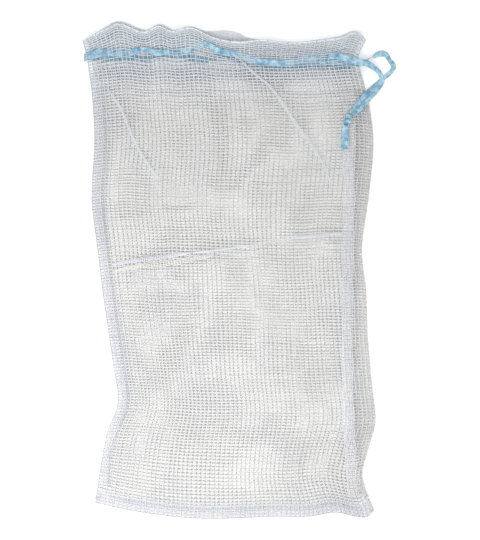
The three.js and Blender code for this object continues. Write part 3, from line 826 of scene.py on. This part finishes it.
def mouth_hems():
    """The cloth turned in at the mouth, with its yarns bunched."""
    us = np.linspace(0.02, 0.98, 112)
    vs = np.r_[np.linspace(row_at(HEM_FOOT), row_at(RIBBON_TOP), 8),
               np.linspace(row_at(RIBBON_TOP + 2), 0.998, 18)]
    for name, mouth, low, seed in [("front", FRONT_MOUTH, FRONT_HEM_LOW, 52),
                                   ("back", BACK_MOUTH, BACK_HEM_LOW, 51)]:
        def surface(u, v, name=name, mouth=mouth, low=low):
            xy = panel_xy(mouth, u, v)
            x, y = xy[..., 0], xy[..., 1]
            if name == "front":
                lift = mouth_wave(x, y) + 0.9 * smooth(v, 0.985, 1)
            else:
                lift = back_tunnel(x, y)
            return np.stack([x, y, low + HEM / 2 + lift], -1)
        hem = net(f"{name}_hem_net", surface, us, vs, (1.2, 0.8), 0.45, HEM_LOOK, seed,
                  thinner=0.78)
        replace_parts(hem, f"{name}_mouth_hem")


EDGE_CORNER_Z, EDGE_RADIUS, EDGE_INSET = 2.2, 0.8, 0.9


def mouth_edges():
    """The fold at the top of each hem, where the cloth turns over."""
    share = np.linspace(0.004, 0.996, 420)
    for name, mouth, height in [("front", FRONT_MOUTH, LOFT - 1.2), ("back", BACK_MOUTH, 1.9)]:
        xy = mouth(share)
        x, y = xy[:, 0], xy[:, 1]
        wave = mouth_wave(x, y) if name == "front" else 0
        rise = smooth(np.minimum(share, 1 - share), 0, 0.05)
        z = EDGE_CORNER_Z + (height - EDGE_CORNER_Z + wave) * rise + 0.25 * wander(x, y, 8, 81)
        radius = EDGE_RADIUS + 0.12 * wander(x, y, 5, 82)
        spots = np.column_stack([x, y - EDGE_INSET, z])
        bundle(f"{name}_mouth_fold", [strand(spots, radius, 8)], SELVEDGE_LOOK)


def band_height(xy, seed):
    """The middle of a turned-in edge between the panels, slightly uneven."""
    return SEAM_LOW + SEAM / 2 + 0.15 * wander(xy[..., 0], xy[..., 1], 14, seed)


def side_bands():
    """The dense turned-in edges along both sides, which go on past the sewing to the hems."""
    inset = SEAM_INSET / BAG_WIDTH
    for side, edge_u, line, look in [("left", inset, LEFT_SEAM_LINE, SELVEDGE_LOOK),
                                     ("right", 1 - inset, RIGHT_SEAM_LINE, FLAP_LOOK)]:
        def surface(s, t, edge_u=edge_u, line=line):
            s, t = np.broadcast_arrays(s, t)
            sewn = np.minimum(t, 1)
            outer = panel_xy(BACK_MOUTH, edge_u, seam_row(t))
            inner = line(sewn) + outer - panel_xy(BACK_MOUTH, edge_u, seam_row(sewn))
            share = s[..., None] if edge_u < 0.5 else 1 - s[..., None]
            xy = outer + share * (inner - outer)
            return np.dstack([xy, band_height(xy, 61)])
        band = net(f"{side}_seam_band", surface, np.linspace(0, 1, 10), np.linspace(0, 1.07, 250),
                   (1.9, 2.2), 0.5, look, 62)
        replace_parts(band, f"{side}_side_seam")


ALLOWANCE_INSET, ALLOWANCE_WIDTH, ALLOWANCE_DEPTH = 2, 15, 1.1


def right_allowance():
    """The right-hand seam's allowance, which lies folded under the front net."""
    def surface(s, t):
        s, t = np.broadcast_arrays(s, t)
        share = 0.01 + 0.98 * t
        row = seam_row(share)
        x = RIGHT_SEAM_LINE(share)[..., 0] - ALLOWANCE_INSET - ALLOWANCE_WIDTH * (1 - s)
        return front_surface(share_across(x, row), row) - (0, 0, ALLOWANCE_DEPTH)
    allowance = net("right_seam_allowance", surface, np.linspace(0, 1, 7), np.linspace(0, 1, 210),
                    (1.5, 1.2), 0.45, SELVEDGE_LOOK, 65)


def bottom_band():
    """The dense turned-in edge along the bottom."""
    def surface(s, t):
        inset = SEAM_INSET / BAG_WIDTH
        u = inset + s * (1 - 2 * inset)
        xy = panel_xy(BACK_MOUTH, u, (SEAM_INSET + t * BOTTOM_HEM) / BAG_LENGTH)
        return np.dstack([xy, band_height(xy, 63)])
    hem = net("bottom_hem_band", surface, np.linspace(0, 1, 166), np.linspace(0, 1, 8),
              (1.7, 1.9), 0.5, SELVEDGE_LOOK, 64)
    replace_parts(hem, "bottom_hem")


# A pleat: its name, its line, its width, the pitch of its crosswise yarns and its look.
PLEATS = [
    # The fold strips' bluish tone is painted shade.
    ("right_pleat", CREASES[0][0], 3.6, 2.6, FOLD_SHADE_LOOK),
    ("left_pleat", CREASES[1][0], 3.0, 2.6, FOLD_SHADE_LOOK),
    ("cross_pleat_left", smooth_line([(-168, 9), (-128, 16), (-90, 21), (-55, 26)]),
     5.0, 2.6, FOLD_SHADE_LOOK),
    # Below the left cross fold, a strip in painted highlight, where the fold catches the light.
    ("cross_pleat_low", smooth_line([(-166, 0), (-128, 7), (-80, 13), (-20, 23)]),
     7.5, 3.9, GLINT_LOOK),
    ("cross_pleat_mid", smooth_line([(-55, 26), (-10, 31), (40, 38)]), 2.4, 2.6, FOLD_SHADE_LOOK),
    ("cross_pleat_right", smooth_line([(84, 46), (120, 50), (176, 56)]), 3.2, 2.6, FOLD_SHADE_LOOK),
]
PLEAT_YARNS = 4                                   # lengthwise ones
PLEAT_LIFT, PLEAT_CROWN = 0.75, 0.4


def on_front(x, y):
    """The front net's height over (x, y)."""
    v = row_at(y)
    return front_surface(share_across(x, v), v)[..., 2]


def pleats():
    """Where the front is folded sharply, the net lies doubled in a narrow raised strip."""
    strips = []
    for name, line, width, pitch, look in PLEATS:
        def surface(s, t, line=line, width=width):
            s, t = np.broadcast_arrays(s, t)
            spot = line(t)
            along = unit(line(t + 0.01) - line(t - 0.01))
            taper = np.clip(np.sin(math.pi * t), 0, 1) ** 0.5
            uneven = 1 + 0.25 * wander(spot[..., 0], spot[..., 1], 18, 71)
            offset = (s - 0.5) * width * taper * uneven
            x = spot[..., 0] - along[..., 1] * offset
            y = spot[..., 1] + along[..., 0] * offset
            crown = PLEAT_LIFT + PLEAT_CROWN * taper * np.sin(math.pi * s)
            return np.stack([x, y, on_front(x, y) + crown], -1)
        length = np.linalg.norm(np.diff(line(np.linspace(0, 1, 60)), axis=0), axis=1).sum()
        rows = np.linspace(0.01, 0.99, int(length / pitch))
        strips.append(net(name, surface, np.linspace(0, 1, PLEAT_YARNS), rows,
                          (1.3, 0.9), 0.45, look, 72))
    return strips


# ---- Sewing ------------------------------------------------------------------------------------------

THREAD_LIFT = 1.0         # of the stitches above the middle of the front net


def seam_stitching():
    """The sewing thread along the sides, along the bottom and along the foot of each hem."""
    share = np.linspace(0.01, 0.99, 400)
    rows = seam_row(share)
    for side, line, outward in [("left", LEFT_SEAM_LINE, -1), ("right", RIGHT_SEAM_LINE, 1)]:
        u = share_across(line(share)[:, 0] + outward * THREAD_INSET, rows)
        path = front_surface(u, rows) + (0, 0, THREAD_LIFT)
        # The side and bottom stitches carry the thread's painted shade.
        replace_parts(stitches(f"{side}_seam_stitches", path, SHADED_THREAD_LOOK, pitch=3.3, length=3.1,
                             radius=0.5, sink=0.7), f"{side}_seam_thread")
    across = np.linspace(0.05, 0.95, 300)
    row = np.full(300, BOTTOM_THREAD_INSET / BAG_LENGTH)
    path = front_surface(across, row) + (0, 0, THREAD_LIFT)
    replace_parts(stitches("bottom_hem_stitches", path, SHADED_THREAD_LOOK, pitch=3.6, length=3.1,
                         radius=0.36, sink=0.9), "bottom_hem_thread")
    row = np.full(300, row_at(HEM_FOOT + HEM_THREAD_INSET))
    path = front_surface(across, row) + (0, 0, THREAD_LIFT)
    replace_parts(stitches("front_hem_stitches", path, HEM_LOOK, pitch=3.6, length=2.9,
                         radius=0.27, sink=0.9), "front_mouth_thread")
    xy = panel_xy(BACK_MOUTH, across, row)
    z = BACK_HEM_LOW + HEM + GAP + 0.35 + back_tunnel(xy[:, 0], xy[:, 1])
    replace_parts(stitches("back_hem_stitches", np.column_stack([xy, z]), HEM_LOOK, pitch=3.6,
                         length=2.9, radius=0.27, sink=0.7), "back_mouth_thread")


def corner_thread():
    """The loose curl of thread at the bottom left corner."""
    t = np.linspace(0, 1, 60)
    angle, radius = 1.5 + 5.2 * t, 1.6 + 2.6 * t
    x, y = CORNER_CURL
    curl = np.stack([x + radius * np.cos(angle), y + radius * np.sin(angle) + 5 * t, 4.4 + t], -1)
    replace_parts(bundle("corner_thread", [strand(curl, 0.45, 8)], SHADED_THREAD_LOOK),
                "corner_thread_end")


camera()
studio()
free_ends()
fixed_ribbons()
panels()
mouth_hems()
mouth_edges()
side_bands()
right_allowance()
bottom_band()
seam_stitching()
corner_thread()
